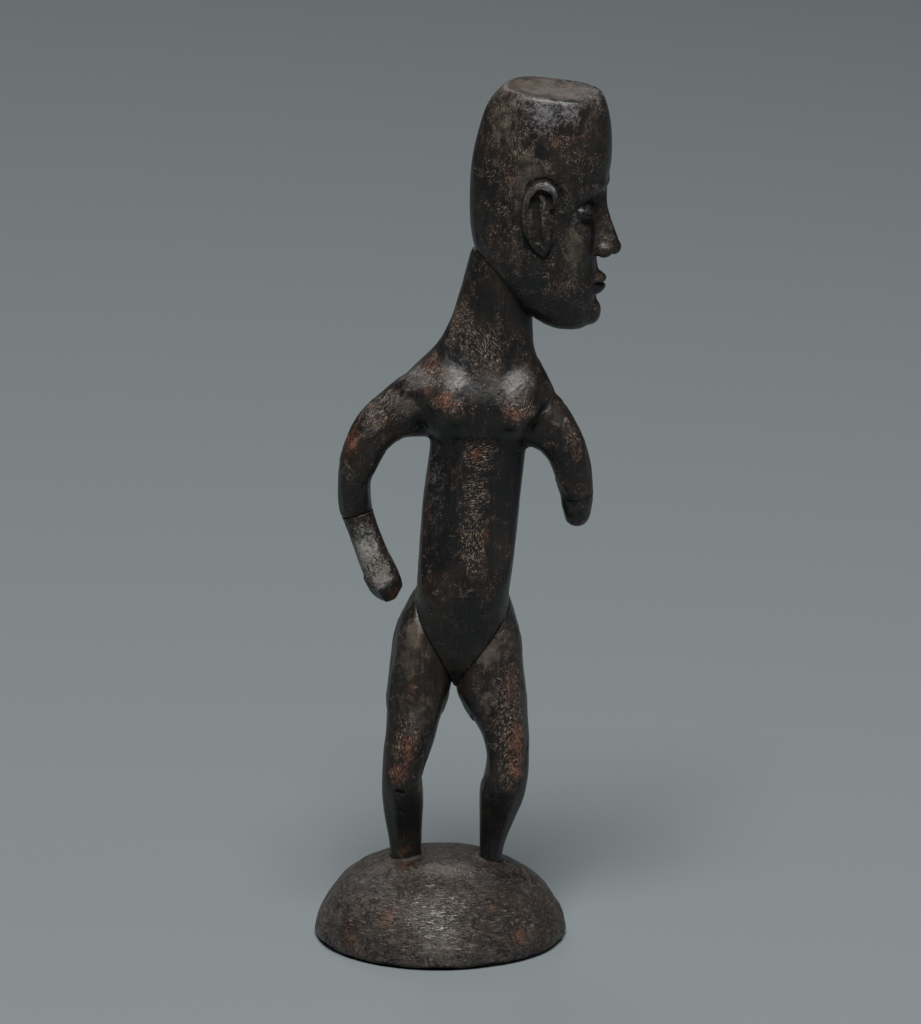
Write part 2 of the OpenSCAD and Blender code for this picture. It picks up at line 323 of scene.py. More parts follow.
def facets(points, normals, spacing, depth, rng, tilt=0.05, stretch=(1, 1, 0.6)):
    """The depth that flat knife cuts take off a rounded surface, leaving edges between them."""
    stretch = np.array(stretch)
    seeds = scattered(points * stretch, spacing, rng)
    planes = normals[seeds] + rng.normal(0, tilt, (len(seeds), 3))
    planes /= np.linalg.norm(planes, axis=1)[:, None]
    tree = tree_of(points[seeds] * stretch)
    near = np.array([[hit[1] for hit in tree.find_n(p, 4)] for p in points * stretch])
    cut = np.zeros(len(points))
    for column in near.T:
        n = planes[column]
        delta = points - points[seeds[column]]
        facing = np.einsum("ij,ij->i", n, normals)
        height = np.einsum("ij,ij->i", n, delta) + depth
        close = 1 - smoothstep(spacing, 1.8 * spacing, np.linalg.norm(delta * stretch, axis=1))
        cut = np.maximum(cut, np.clip(height / np.maximum(facing, 0.6), 0, 2 * depth) * close
                         * smoothstep(0.5, 0.75, facing))
    return cut


def scored(points, path, width, depth, shrink=(1, 1, 1)):
    """The depth that a V cut along the smooth curve through path leaves at each point. Sizes in mm.

    shrink below 1 along an axis lets the cut find a surface that the path misses along it."""
    points, path = points * np.array(shrink), np.array(path, dtype=float) * np.array(shrink)
    steps = max(2, int(np.linalg.norm(np.diff(path, axis=0), axis=1).sum() / 0.3))
    curve = through(path, np.linspace(0, len(path) - 1, steps))
    tree = tree_of(curve)
    low, high = curve.min(axis=0) - width, curve.max(axis=0) + width
    cut = np.zeros(len(points))
    for i in np.nonzero(((points > low) & (points < high)).all(axis=1))[0]:
        _, step, distance = tree.find(points[i])
        ends = min(1, 6 * min(step, steps - 1 - step) / steps)
        cut[i] = depth * max(0, 1 - 2 * distance / width) * ends
    return cut


# Where a spot fades out, in its own radii
SPOT_EDGE = 1.3


def spots(points, node, places):
    """A soft mask of spots. Each is (x, y, z as parts of the node's box, radius or radii in mm, strength)."""
    low, high = (np.array(c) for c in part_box(node))
    mask = np.zeros(len(points))
    for x, y, z, radius, strength in places:
        centre = low + np.array([x, y, z]) * (high - low)
        distance = np.linalg.norm((points - centre) / (np.array(radius) * MM), axis=1)
        mask = np.maximum(mask, strength * (1 - smoothstep(0.0, SPOT_EDGE, distance)))
    return mask


def level_places(points, inside, step=3 * MM):
    """Where each point lies in its level section, from -1 to 1 both ways, and the section's half sizes."""
    level = np.floor(points[:, 2] / step).astype(int)
    heights, middles, halves = [], [], []
    for k in np.unique(level[inside]):
        band = points[inside & (level == k), :2]
        heights.append((k + 0.5) * step)
        middles.append((band.min(axis=0) + band.max(axis=0)) / 2)
        halves.append((band.max(axis=0) - band.min(axis=0)) / 2)
    even = np.ones(5) / 5
    middles, halves = (np.stack([np.convolve(np.pad(column, 2, "edge"), even, "valid")
                                 for column in np.array(rows).T], axis=1) for rows in (middles, halves))
    middle = np.stack([np.interp(points[:, 2], heights, middles[:, k]) for k in (0, 1)], axis=1)
    half = np.stack([np.interp(points[:, 2], heights, halves[:, k]) for k in (0, 1)], axis=1)
    return (points[:, :2] - middle) / half, half


def chamfered(points, inside, front_left, front_right, back):
    """Planes off the corners of a body's level sections. 1.06 leaves a rounded square's corner as it is."""
    place, half = level_places(points, inside)
    limit = np.where(place[:, 1] > 0, back, np.where(place[:, 0] < 0, front_left, front_right))
    over = np.maximum(0, (np.abs(place).sum(axis=1)) * math.sqrt(0.5) - limit)
    shift = np.sign(place) * over[:, None] * math.sqrt(0.5) * half
    points = points.copy()
    points[:, :2] -= np.where(inside[:, None], shift, 0)
    return points


def soften(piece, node, rounds, stock=0.0):
    """Takes off the CAD facets, away from the joints, and leaves stock in mm for the tools to cut."""
    points = get_points(piece)
    free = smoothstep(0.4 * MM, 4 * MM, joint_distance(points, node))
    set_points(piece, relaxed(points, get_edges(piece), rounds, free))
    set_points(piece, get_points(piece) + get_normals(piece) * (stock * MM * free)[:, None])
    return free


def tooled(piece, free, seed, facet, tool, direction=along_z, lumps=(0.5, 0.25), stretch=(1, 1, 0.6)):
    """Cuts the surface with flats and strokes. Sizes are in mm.

    facet is (spacing, depth) of the flats, tool is as in strokes, and lumps are the heights of broad and fine
    unevenness."""
    rng = np.random.default_rng(seed)
    points, edges, normals = get_points(piece), get_edges(piece), get_normals(piece)
    uneven = noise(points, 34 * MM, seed) * lumps[0] + noise(points, 14 * MM, seed + 1) * lumps[1]
    cut = facets(points, normals, facet[0] * MM, facet[1] * MM, rng, stretch=stretch)
    set_points(piece, relaxed(points - normals * ((cut + uneven * MM) * free)[:, None], edges, 2, free, 0.4))
    points, normals = get_points(piece), get_normals(piece)
    cut = strokes(points, normals, np.array(tool) * MM, direction, rng)
    set_points(piece, relaxed(points - normals * (cut * free)[:, None], edges, 1, free, 0.3))


# How far a point stands proud on a full ridge and on a full swelling
RIDGE_HEIGHT = 0.3 * MM
SWELL_HEIGHT = 1.2 * MM


def finish_surface(piece, node, slot, material, seed=1, **masks):
    """Rasps the surface, paints what the material needs, and ties the piece to the frame.

    ridge and swell tell how far a point stands proud of its near and wider surroundings, from -1 to 1."""
    points, normals, edges = get_points(piece), get_normals(piece), get_edges(piece)
    rng = np.random.default_rng(seed)
    painted = {mask: spots(points, node, masks.get(mask, ())) for mask in MASKS}
    for mask, course in RASPS.items():
        if painted[mask].any():
            field = painted[mask] - painted["calm"] + 0.35 * noise(points, 9 * MM, seed)
            cut = strokes(points, normals, np.array(RASP_TOOL) * MM, lambda _: np.array(course), rng,
                          0.15, field)
            points = points - normals * cut[:, None]
    set_points(piece, points)
    normals = get_normals(piece)
    ridge = np.einsum("ij,ij->i", points - relaxed(points, edges, 8), normals) / RIDGE_HEIGHT
    swell = np.einsum("ij,ij->i", points - relaxed(points, edges, 60, 1.0, 0.9), normals) / SWELL_HEIGHT
    seam = 0.3 * (1 - smoothstep(0.2 * MM, 0.9 * MM, joint_distance(points, node, 2 * MM)))
    paint(piece, "ridge", np.clip(ridge, -1, 1) * (1 - seam) - seam)
    paint(piece, "swell", np.clip(swell, -1, 1))
    for mask in MASKS:
        paint(piece, mask, painted[mask])
    piece.data.materials.clear()
    piece.data.materials.append(material)
    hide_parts(node)
    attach(piece, "root")


# ---- materials ----

# How far from the Z axis, in mm, the lumps of noise in rings have their full length
RING_RADIUS = 60


class Shader:
    """Short names for the shader nodes used here."""

    def __init__(self, name):
        self.material = bpy.data.materials.new(name)
        self.material.use_nodes = True
        self.tree = self.material.node_tree
        self.surface = self.tree.nodes["Principled BSDF"]
        self.place = self.add("ShaderNodeTexCoord").outputs["Object"]

    def add(self, kind, **values):
        node = self.tree.nodes.new(kind)
        for key, value in values.items():
            setattr(node, key, value)
        return node

    def feed(self, socket, value):
        if isinstance(value, bpy.types.NodeSocket):
            self.tree.links.new(value, socket)
        else:
            socket.default_value = value

    def painted(self, name):
        return self.add("ShaderNodeAttribute", attribute_name=name).outputs["Fac"]

    def stretched(self, sizes, course=(1, 0, 0)):
        """Coordinates for noise with lumps of those sizes in mm, the first along course."""
        node = self.add("ShaderNodeMapping", vector_type="TEXTURE")
        self.feed(node.inputs["Vector"], self.place)
        node.inputs["Rotation"].default_value = (0, -math.atan2(course[2], course[0]), 0)
        node.inputs["Scale"].default_value = [size * MM for size in sizes]
        return node.outputs["Vector"]

    def ringed(self, length, width, waves):
        """Coordinates for noise in wavy rings about the Z axis, with lumps of that length and width in mm."""
        split = self.add("ShaderNodeSeparateXYZ")
        self.feed(split.inputs[0], self.place)
        x, y, z = split.outputs
        radius = self.maths("SQRT", self.total(1e-6, (self.maths("MULTIPLY", x, x), 1.0),
                                               (self.maths("MULTIPLY", y, y), 1.0)))
        turns = RING_RADIUS / length
        join = self.add("ShaderNodeCombineXYZ")
        self.feed(join.inputs[0], self.total(0.0, (self.maths("DIVIDE", x, radius), turns)))
        self.feed(join.inputs[1], self.total(0.0, (self.maths("DIVIDE", y, radius), turns)))
        self.feed(join.inputs[2], self.total(0.0, (z, 1 / (width * MM)), (radius, -1 / (width * MM)),
                                             (self.cloud(22, 2), waves)))
        return join.outputs[0]

    def cloud(self, scale, detail=3, roughness=0.55, place=None, distortion=0.0):
        node = self.add("ShaderNodeTexNoise")
        self.feed(node.inputs["Vector"], place or self.place)
        node.inputs["Scale"].default_value = scale
        node.inputs["Detail"].default_value = detail
        node.inputs["Roughness"].default_value = roughness
        node.inputs["Distortion"].default_value = distortion
        return node.outputs["Fac"]

    def maths(self, operation, a, b=0.0):
        node = self.add("ShaderNodeMath", operation=operation)
        self.feed(node.inputs[0], a)
        self.feed(node.inputs[1], b)
        return node.outputs[0]

    def total(self, start, *parts):
        """start plus each value times its weight."""
        for value, weight in parts:
            node = self.add("ShaderNodeMath", operation="MULTIPLY_ADD")
            for socket, number in zip(node.inputs, (value, weight, start)):
                self.feed(socket, number)
            start = node.outputs[0]
        return start

    def ramp(self, value, low, high, out_low=0.0, out_high=1.0):
        node = self.add("ShaderNodeMapRange", interpolation_type="SMOOTHSTEP")
        self.feed(node.inputs["Value"], value)
        for key, number in zip(("From Min", "From Max", "To Min", "To Max"), (low, high, out_low, out_high)):
            node.inputs[key].default_value = number
        return node.outputs["Result"]

    def mix(self, share, a, b):
        node = self.add("ShaderNodeMix", data_type="RGBA")
        self.feed(node.inputs["Factor"], share)
        self.feed(node.inputs["A"], (*a, 1) if isinstance(a, tuple) else a)
        self.feed(node.inputs["B"], (*b, 1) if isinstance(b, tuple) else b)
        return node.outputs["Result"]

    def bump(self, height, distance):
        node = self.add("ShaderNodeBump")
        self.feed(node.inputs["Height"], height)
        node.inputs["Distance"].default_value = distance
        node.inputs["Strength"].default_value = 1.0
        return node.outputs["Normal"]


# Colours of the aged wood; the waxy grey and the ochre also stand for painted sheen, and the near-black
# darkens hollows and cracks
DARK = (0.0045, 0.0042, 0.0047)
BROWN = (0.015, 0.0105, 0.008)
TAN = (0.42, 0.31, 0.23)
WORN = (0.06, 0.023, 0.015)
BARE = (0.22, 0.09, 0.05)
# Waxy grey, which also paints sheen and highlights where the light catches
WAX_AND_SHEEN = (0.12, 0.115, 0.118)
# Ochre dust, which also paints sheen on lit planes
OCHRE_AND_SHEEN = (0.1, 0.08, 0.064)
# Near-black that the hollows and cracks are darkened towards
HOLLOW_DARK = (0.002, 0.0018, 0.0018)


def patina(name, dark=DARK, brown=BROWN, tan=TAN, worn=WORN, bare=BARE, wax=WAX_AND_SHEEN, marks=0.0, rings=False,
           line_height=0.16, gloss=0.42, polish=0.0, cracks=0.0):
    """Old wood under a dark waxy skin, which tools have roughened and hands have rubbed through, with painted
    sheen and highlights.

    marks spreads the flecks, rings adds marks round the Z axis, line_height is how high the marks stand,
    polish is how much smoother the skin is under the waxy grey and painted sheen, and cracks is how dark the
    fine cracks are."""
    s = Shader(name)
    wear, waxed, ochre = s.painted("wear"), s.painted("wax"), s.painted("ochre")
    calm, ridge, swell = s.painted("calm"), s.painted("ridge"), s.painted("swell")
    drift = s.cloud(30, 5, 0.6, distortion=0.4)
    patches = s.cloud(130, 6, 0.7, distortion=0.6)
    ragged = s.cloud(320, 5, 0.7, distortion=0.5)
    speckle = s.cloud(700, 4, 0.8)
    grit = s.cloud(1100, 3, 0.75)
    grain = s.cloud(1, 5, 0.65, s.stretched((2.2, 2.2, 42)))

    # Tool marks
    rough_skin = s.total(1.0, (calm, -0.9))
    hatch = 0.0
    for mask, course in RASPS.items():
        lines = s.ramp(s.cloud(1, 3, 0.7, s.stretched((2.7, 0.6, 0.6), course), 0.4), 0.53, 0.6)
        field = s.ramp(s.total(-1.05, (s.painted(mask), 1.0), (patches, 1.0), (ragged, 0.8)), 0.1, 0.6)
        hatch = s.maths("MAXIMUM", hatch, s.maths("MULTIPLY", lines, field))
    if rings:
        lines = s.ramp(s.cloud(1, 3, 0.7, s.ringed(7, 0.65, 4.5), 0.3), 0.46, 0.6)
        field = s.total(-0.95, (s.painted("rasp_across"), 0.8), (patches, 1.3), (ragged, 0.8))
        field = s.ramp(field, -0.1, 0.5)
        hatch = s.maths("MAXIMUM", hatch, s.maths("MULTIPLY", lines, field))
    hatch = s.maths("MULTIPLY", hatch, rough_skin)
    flecks = s.maths("MULTIPLY", s.ramp(grit, 0.55, 0.62), s.ramp(patches, 0.5 - marks, 0.66 - marks))
    flecks = s.maths("MULTIPLY", flecks, rough_skin)

    # Stained wood, tool marks and rubbed places
    skin = s.mix(s.ramp(s.total(0.0, (drift, 1.0), (calm, -0.12)), 0.42, 0.62), dark, brown)
    skin = s.mix(s.ramp(grain, 0.5, 0.72, 0, 0.6), skin, tuple(2.2 * c for c in brown))
    stain = s.total(-1.05, (wear, 0.5), (patches, 1.1), (ragged, 0.8), (speckle, 0.4), (ridge, 0.1),
                    (swell, 0.1))
    skin = s.mix(s.ramp(stain, 0.25, 0.6, 0, 0.85), skin, worn)
    skin = s.mix(s.maths("MULTIPLY", flecks, 0.5), skin, tan)
    warm = s.ramp(s.total(-0.1, (wear, 0.9), (patches, 0.4)), 0.15, 0.6, 0, 0.75)
    cut_wood = s.mix(warm, tan, tuple(1.8 * c for c in bare))
    skin = s.mix(s.maths("MULTIPLY", hatch, s.ramp(speckle, 0.38, 0.58, 0.15, 0.9)), skin, cut_wood)
    rubbed = s.total(-1.68, (wear, 0.46), (patches, 0.8), (ragged, 1.0), (speckle, 1.3), (ridge, 0.12),
                     (swell, 0.06))
    rubbed = s.maths("MULTIPLY", s.ramp(rubbed, 0.32, 0.48, 0, 0.9), s.ramp(grit, 0.4, 0.56, 0.3, 1))
    skin = s.mix(rubbed, skin, bare)

    # Waxy grey with painted sheen and highlights, ochre dust with painted sheen, and darker hollows and
    # cracks
    # Painted sheen and highlights, mixed in as a waxy grey
    sheen_film = s.total(-1.75, (waxed, 0.7), (patches, 0.8), (ragged, 1.1), (speckle, 1.6), (swell, 0.1))
    sheen_film = s.ramp(sheen_film, 0.2, 0.85, 0, 0.8)
    skin = s.mix(sheen_film, skin, wax)
    # Ochre dust, and painted sheen on lit planes
    dust_and_sheen = s.total(-0.95, (ochre, 0.7), (patches, 0.9), (ragged, 0.6), (grain, 0.4))
    skin = s.mix(s.ramp(dust_and_sheen, 0.2, 0.8, 0, 0.8), skin, OCHRE_AND_SHEEN)
    crevice = s.ramp(s.total(0.0, (ridge, -1.0), (swell, -0.3)), 0.15, 0.9)
    if cracks:
        veins = s.maths("ABSOLUTE", s.total(-0.5, (s.cloud(55, 5, 0.6, distortion=1.2), 1.0)))
        veins = s.maths("MULTIPLY", s.ramp(veins, 0.0, 0.034, cracks, 0), s.ramp(drift, 0.4, 0.5))
        crevice = s.maths("ADD", crevice, s.maths("MULTIPLY", veins, s.total(1.0, (waxed, -1.0))))
    skin = s.mix(s.ramp(crevice, 0, 1, 0, 0.9), skin, HOLLOW_DARK)
    s.feed(s.surface.inputs["Base Color"], skin)

    roughness = s.total(0.03, (drift, 0.14), (patches, 0.28), (speckle, 0.24), (hatch, 0.08), (flecks, 0.08),
                        (sheen_film, -0.06), (waxed, -polish), (crevice, 0.5))
    s.feed(s.surface.inputs["Roughness"], roughness)
    s.surface.inputs["Specular IOR Level"].default_value = gloss
    height = s.total(0.0, (hatch, line_height), (flecks, 0.08), (grain, 0.16), (ragged, 0.28),
                     (speckle, 0.15), (grit, 0.08), (crevice, -0.45))
    s.feed(s.surface.inputs["Normal"], s.bump(height, 1.0 * MM))
    return s.material


body_wood = patina("dark_patina_wood")
head_wood = patina("head_wood", marks=0.06, wax=(0.19, 0.185, 0.19))
hand_wood = patina("worn_wood", marks=0.03, wax=(0.22, 0.21, 0.2))
base_wood = patina("brown_patina_wood", (0.007, 0.0044, 0.0033), (0.025, 0.0148, 0.0098), (0.22, 0.18, 0.15),
                   (0.05, 0.025, 0.017), (0.2, 0.085, 0.042), (0.17, 0.152, 0.14), rings=True,
                   line_height=0.7, gloss=0.62, polish=0.22, cracks=1.6)
peg_wood = patina("peg_wood", (0.26, 0.16, 0.09), (0.36, 0.24, 0.14), (0.45, 0.32, 0.2), (0.42, 0.28, 0.17),
                  (0.5, 0.34, 0.2))


# ---- base ----

def shape_base(piece, free):
    """The dome was shaped by eye: fuller on one side, with the foot of its wall undercut."""
    points = get_points(piece)
    low, high = points.min(axis=0), points.max(axis=0)
    height = (points[:, 2] - low[2]) / (high[2] - low[2])
    radius = np.linalg.norm(points[:, :2], axis=1)
    outward = points[:, :2] / np.maximum(radius, 1 * MM)[:, None]
    shift = -1.8 * MM * bell(height, 0.76, 0.2) * outward[:, 0] * smoothstep(0.45, 0.7, radius / high[0])
    shift -= 1.0 * MM * bell(height, 0.42, 0.2)
    shift -= 2.0 * MM * smoothstep(0.075, 0.0, height) * smoothstep(0.9, 0.97, radius / high[0])
    points[:, :2] += outward * (shift * free)[:, None]
    set_points(piece, points)


base = blank("domed_base", "base_dome")
free = soften(base, "base_dome", 8)
shape_base(base, free)
tooled(base, free, 11, (16, 0.35), (3.6, 10, 2.2, 0.28), swirl, (0.8, 0.3), (1, 1, 1))
points = get_points(base)
# The underside stays on the floor
points[:, 2] = np.maximum(points[:, 2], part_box("base_dome")[0][2])
set_points(base, points)
finish_surface(base, "base_dome", "brown_patina_wood", base_wood,
               wear=[(0.14, 0.17, 0.3, (9, 14, 13), 1), (0.81, 0.13, 0.28, (8, 12, 7), 1),
                     (0.36, 0.38, 0.95, 8, 0.9),
                     (0.75, 0.2, 0.12, (16, 12, 5), 0.7), (0.3, 0.15, 0.5, (10, 12, 10), 0.55),
                     (0.7, 0.2, 0.6, (8, 12, 8), 0.6), (0.6, 0.9, 0.4, 9, 0.6)],
               # painted sheen and highlights on the dome's front and top, in the waxy grey
               wax=[(0.5, 0.31, 0.94, (40, 17, 10), 1), (0.46, 0.12, 0.66, (34, 20, 30), 1),
                    (0.5, 0.04, 0.36, (30, 18, 24), 1), (0.45, 0.8, 0.85, 18, 0.5)],
               rasp_across=[(0.5, 0.15, 0.6, (60, 40, 30), 0.9), (0.8, 0.2, 0.4, (24, 24, 16), 0.9),
                            (0.5, 0.9, 0.5, (50, 30, 24), 0.7)])


# ---- legs ----

SHIN_TOP = 112 * MM

# The flats and strokes on both legs, as tooled takes them
LEG_FLATS = (13, 0.5)
LEG_TOOL = (4.5, 8, 2.6, 0.2)


def shape_leg(piece, free, front_left, front_right):
    """Knife-cut shins with an edge down the front. Returns how freely facets may cut each point."""
    points = get_points(piece)
    cut = chamfered(points, points[:, 2] < SHIN_TOP, front_left, front_right, 1.0)
    share = smoothstep(SHIN_TOP, 84 * MM, points[:, 2])
    points = points + (cut - points) * share[:, None]
    set_points(piece, relaxed(points, get_edges(piece), 6, share * free))
    return free * (1 - 0.8 * share)


right_leg = blank("right_leg_carving", "right_leg")
free = soften(right_leg, "right_leg", 14, 0.45)
free = shape_leg(right_leg, free, 0.9, 1.0)
tooled(right_leg, free, 21, LEG_FLATS, LEG_TOOL, stretch=(1, 1, 0.45))
points = get_points(right_leg)
chip = scored(points / MM, [(-27, -25, 101), (-24.5, -25.5, 98.5), (-21.5, -25, 99.5)], 5, 1.6)
check = scored(points / MM, [(-24.6, -25, 97), (-24.9, -20, 85), (-24.2, -13, 72), (-23.8, -9.5, 62)],
               2.4, 1.2)
set_points(right_leg, points - get_normals(right_leg) * ((chip + check) * MM)[:, None])
finish_surface(right_leg, "right_leg", "dark_patina_wood", body_wood,
               wear=[(0.38, 0.01, 0.47, (6, 9, 16), 0.85), (0.24, 0.01, 0.38, (7, 9, 11), 0.75),
                     (0.56, 0.18, 0.33, (5, 7, 14), 0.6), (0.45, 0.05, 0.68, (10, 9, 12), 0.5),
                     (0.32, 0.32, 0.07, 6, 0.7), (0.5, 0.95, 0.6, (14, 10, 26), 0.55)],
               # ochre dust, with painted sheen along the hip joint in the last spot
               ochre=[(0.5, 0.04, 0.58, (20, 16, 26), 0.65), (0.35, 0.1, 0.78, (18, 18, 24), 0.7),
                      (0.45, 0.15, 0.86, (12, 16, 16), 0.95)],
               rasp_up=[(0.38, 0.02, 0.5, (14, 14, 28), 0.75), (0.24, 0.01, 0.37, (9, 10, 13), 0.8),
                        (0.5, 0.95, 0.6, (20, 14, 40), 0.6)],
               calm=[(0.5, 0.3, 0.12, (30, 30, 30), 1), (0.9, 0.3, 0.6, (8, 30, 40), 0.7)])

left_leg = blank("left_leg_carving", "left_leg")
free = soften(left_leg, "left_leg", 14, 0.45)
free = shape_leg(left_leg, free, 0.98, 0.95)
tooled(left_leg, free, 31, LEG_FLATS, LEG_TOOL, stretch=(1, 1, 0.45))
finish_surface(left_leg, "left_leg", "dark_patina_wood", body_wood,
               wear=[(0.84, 0.05, 0.5, (10, 12, 18), 0.72), (0.83, 0.03, 0.4, (7, 10, 12), 0.75),
                     (0.8, 0.1, 0.7, (12, 12, 22), 0.55), (0.5, 0.05, 0.6, (9, 9, 14), 0.5),
                     (0.81, 0.05, 0.32, (6, 8, 6), 0.5), (0.5, 0.95, 0.6, (14, 10, 26), 0.5)],
               # ochre dust, with painted sheen along the hip joint in the last spot
               ochre=[(0.45, 0.05, 0.64, (18, 18, 24), 0.6), (0.7, 0.2, 0.84, (16, 18, 18), 0.6),
                      (0.45, 0.1, 0.82, (12, 16, 16), 0.9)],
               rasp_rise=[(0.76, 0.08, 0.62, (17, 18, 50), 1), (0.76, 0.05, 0.42, (12, 14, 22), 1),
                          (0.5, 0.95, 0.6, (20, 14, 40), 0.7)],
               calm=[(0.4, 0.3, 0.12, (30, 30, 26), 1), (0.2, 0.3, 0.5, (9, 30, 40), 0.7)])


# ---- trunk ----

# Drying checks down the torso, in mm: place across, top and foot
TORSO_CHECKS = ((10.5, 262, 238), (13, 276, 231), (16, 290, 226), (18.5, 272, 236), (21, 284, 250))
TORSO_FOOT, TORSO_TOP, TORSO_MIDDLE = 226, 322, 20


def shape_trunk(piece, free):
    """A keeled torso that is pared in below the navel, and shoulders that run into the breasts."""
    points = get_points(piece)
    x, y, z = points.T / MM
    torso = (z > TORSO_FOOT) & (z < TORSO_TOP) & (np.abs(x - TORSO_MIDDLE) < 37)
    cut = chamfered(points, torso, 0.975, 0.975, 1.0)
    share = smoothstep(TORSO_FOOT, 240, z) * smoothstep(TORSO_TOP, 316, z) * torso * free
    points = points + (cut - points) * share[:, None]
    points = relaxed(points, get_edges(piece), 12, share)
    belly_edge, belly_slope = np.array((-31.4, TORSO_FOOT)), np.array((-0.965, -0.262))
    over = np.maximum(0, (np.stack([y, z], axis=1) - belly_edge) @ belly_slope)
    over = over * (z < TORSO_FOOT) * (y < 0) * free * MM
    points[:, 1] -= belly_slope[0] * over
    points[:, 2] -= belly_slope[1] * over
    points[:, 1] += 2.5 * MM * smoothstep(177, 165, z) * (y < 0)
    set_points(piece, points)
    rim = 1 - smoothstep(0.5 * MM, 4 * MM, joint_distance(points, "trunk"))
    points += get_normals(piece) * (0.8 * MM * rim * (z < 222) * smoothstep(160, 178, z))[:, None]
    set_points(piece, points)
    shoulders = smoothstep(328, 338, z) * smoothstep(410, 396, z)
    cleft = bell(x, 28, 7) * smoothstep(0, -20, y) * smoothstep(372, 355, z)
    filled(piece, 300, shoulders * (1 - 0.8 * cleft) * free)


shoulder = tube([(12, -12, 349), (-11, -8, 350), (-27, -6, 337.5), (-40, -3, 325)], [18, 16.5, 15.2, 9], 24)
elbow = tube([(-39.5, -3, 322), (-45, -3, 309), (-50, -3, 297.5)], [8.6, 8.8, 8.2], 20)
trunk = blank("trunk_carving", "trunk", [(p * MM, faces) for p, faces in (shoulder, elbow)])
free = soften(trunk, "trunk", 24, 0.45)
shape_trunk(trunk, free)
x, _, z = get_points(trunk).T / MM
limbs = smoothstep(34, 44, np.abs(x - TORSO_MIDDLE))
tooled(trunk, free * (0.3 + 0.7 * limbs), 41, (13, 0.45), (5, 8, 2.6, 0.2), lumps=(0.6, 0.35))
points = get_points(trunk)
checks = [scored(points / MM,
                 [(place, -35, top), (place - 0.9, -35, (top + foot) / 2), (place + 0.4, -35, foot)],
                 2.2, 0.75, (1, 0.1, 1)) for place, top, foot in TORSO_CHECKS]
set_points(trunk, points - get_normals(trunk) * (np.max(checks, axis=0) * MM * (points[:, 1] < 0))[:, None])
finish_surface(trunk, "trunk", "dark_patina_wood", body_wood,
               wear=[(0.43, 0.05, 0.68, (11, 12, 8), 0.7), (0.35, 0.3, 0.75, (10, 12, 5), 0.65),
                     (0.36, 0.12, 0.69, (9, 10, 7), 0.65), (0.68, 0.02, 0.65, (9, 9, 6), 0.5),
                     (0.54, 0.13, 0.55, (5, 8, 6), 1), (0.58, 0.12, 0.37, (3.5, 6, 6), 0.8),
                     (0.06, 0.25, 0.57, (8, 12, 14), 0.9), (0.93, 0.26, 0.55, (7, 9, 10), 0.3),
                     (0.2, 0.24, 0.63, (12, 10, 8), 0.4), (0.5, 0.95, 0.6, (16, 8, 30), 0.5),
                     (0.06, 0.7, 0.6, (8, 10, 16), 0.6), (0.9, 0.8, 0.6, (9, 9, 14), 0.5)],
               # painted highlights on the collarbone, breasts, shoulders and torso side, in the waxy grey
               wax=[(0.48, 0.13, 0.72, (8, 10, 9), 0.95), (0.45, 0.09, 0.7, (4, 6, 3), 1),
                    (0.67, 0.07, 0.69, (5, 9, 9), 1), (0.75, 0.2, 0.72, (10, 9, 9), 0.5),
                    (0.3, 0.2, 0.73, (12, 12, 8), 0.8), (0.4, 0.85, 0.75, (14, 8, 12), 0.6),
                    (0.38, 0.2, 0.5, (10, 12, 50), 0.55), (0.2, 0.2, 0.68, (16, 12, 7), 0.7)],
               ochre=[(0.59, 0.2, 0.8, (14, 10, 16), 0.3), (0.54, 0.1, 0.45, (10, 8, 40), 0.25),
                      (0.25, 0.22, 0.66, (24, 16, 12), 0.8), (0.4, 0.2, 0.75, (12, 14, 8), 0.5)],
               rasp_across=[(0.55, 0.12, 0.56, (14, 16, 20), 0.95), (0.54, 0.12, 0.46, (12, 16, 26), 0.8),
                            (0.5, 0.95, 0.45, (22, 12, 40), 0.7)],
               rasp_fall=[(0.57, 0.2, 0.79, (24, 20, 26), 0.68), (0.46, 0.3, 0.85, (18, 20, 20), 0.75),
                          (0.92, 0.25, 0.58, (13, 14, 22), 0.6), (0.5, 0.9, 0.8, (26, 16, 26), 0.7)],
               rasp_rise=[(0.36, 0.22, 0.73, (20, 20, 14), 1), (0.7, 0.08, 0.66, (15, 14, 13), 1),
                          (0.2, 0.25, 0.65, (26, 18, 15), 0.95), (0.4, 0.05, 0.68, (16, 14, 10), 0.8)],
               rasp_up=[(0.06, 0.25, 0.5, (10, 12, 18), 0.6), (0.45, 0.05, 0.67, (12, 12, 9), 0.8),
                        (0.53, 0.1, 0.35, (13, 16, 34), 0.8)],
               calm=[(0.4, 0.2, 0.42, (11, 16, 34), 1), (0.72, 0.2, 0.45, (12, 16, 34), 1),
                     (0.72, 0.35, 0.9, (10, 10, 18), 0.8), (0.52, 0.12, 0.13, (22, 20, 16), 0.9),
                     (0.55, 0.05, 0.61, (30, 14, 6), 0.8)])


# ---- head ----

# In the head's own frame, which faces -Y, in mm: the eyes lie half-way up, and the rest keeps to thirds
EYE_Z, NOSE_Z, MOUTH_Z, BROW_Z = 466, 436, 420, 480
EYE_X, EAR_Y, EAR_Z = 14.5, -14, 464


def to_head(points):
    """From the shared frame, in metres, to the head's own, in mm."""
    turn = np.array(Matrix.Rotation(-HEAD_YAW, 3, "Z"))
    return (points - np.array(HEAD_AXIS)) @ turn.T / MM


def from_head(points):
    turn = np.array(Matrix.Rotation(HEAD_YAW, 3, "Z"))
    return points * MM @ turn.T + np.array(HEAD_AXIS)


